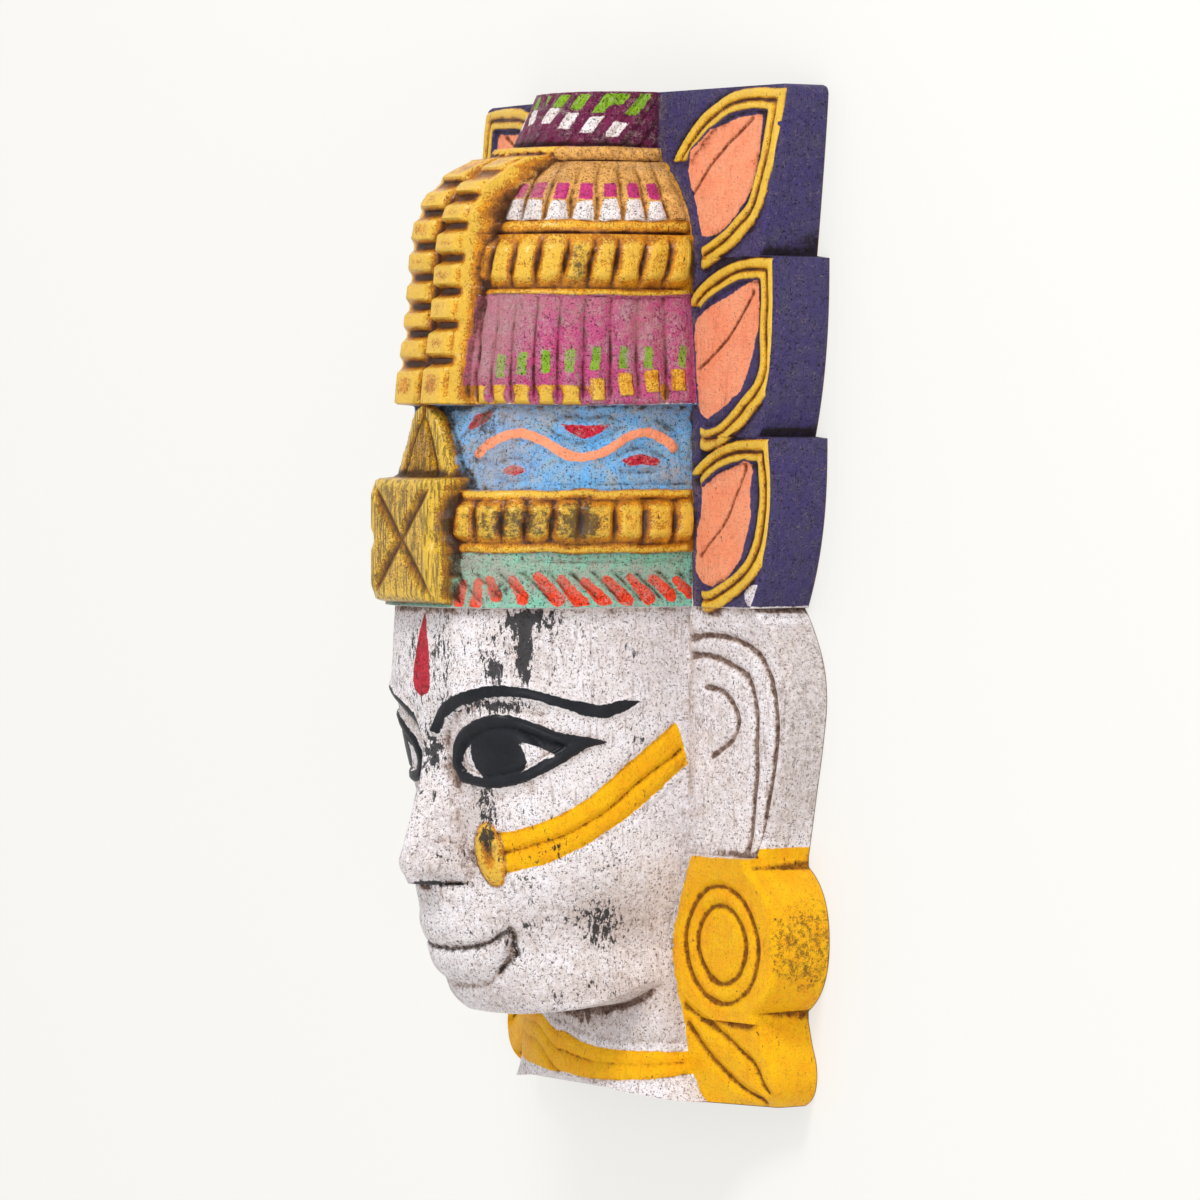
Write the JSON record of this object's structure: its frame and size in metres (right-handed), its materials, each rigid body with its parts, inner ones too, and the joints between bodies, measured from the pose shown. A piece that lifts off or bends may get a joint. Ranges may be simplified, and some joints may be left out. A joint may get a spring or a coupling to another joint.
{
  "type": "carved wooden face mask",
  "caption": "Carved and painted wooden wall mask of a crowned goddess face before a flat-backed feather ground with ears and disc earrings",
  "frame": {"origin": "On the flat back, on the mirror line, half way between the top of the crown and the bottom of the neck", "axes": "X runs across the face, +Y to the top of the crown, +Z out of the face, up when the mask lies on its back"},
  "size_m": [0.2582, 0.46, 0.148],
  "materials": {
    "painted_wood": "hand-carved wood, chalky white face, with golden yellow, indigo, coral, magenta, sky blue and teal paint rubbed back to a brown patina"
  },
  "bodies": {
    "root": {"mask": "painted_wood"}
  },
  "joints": []
}
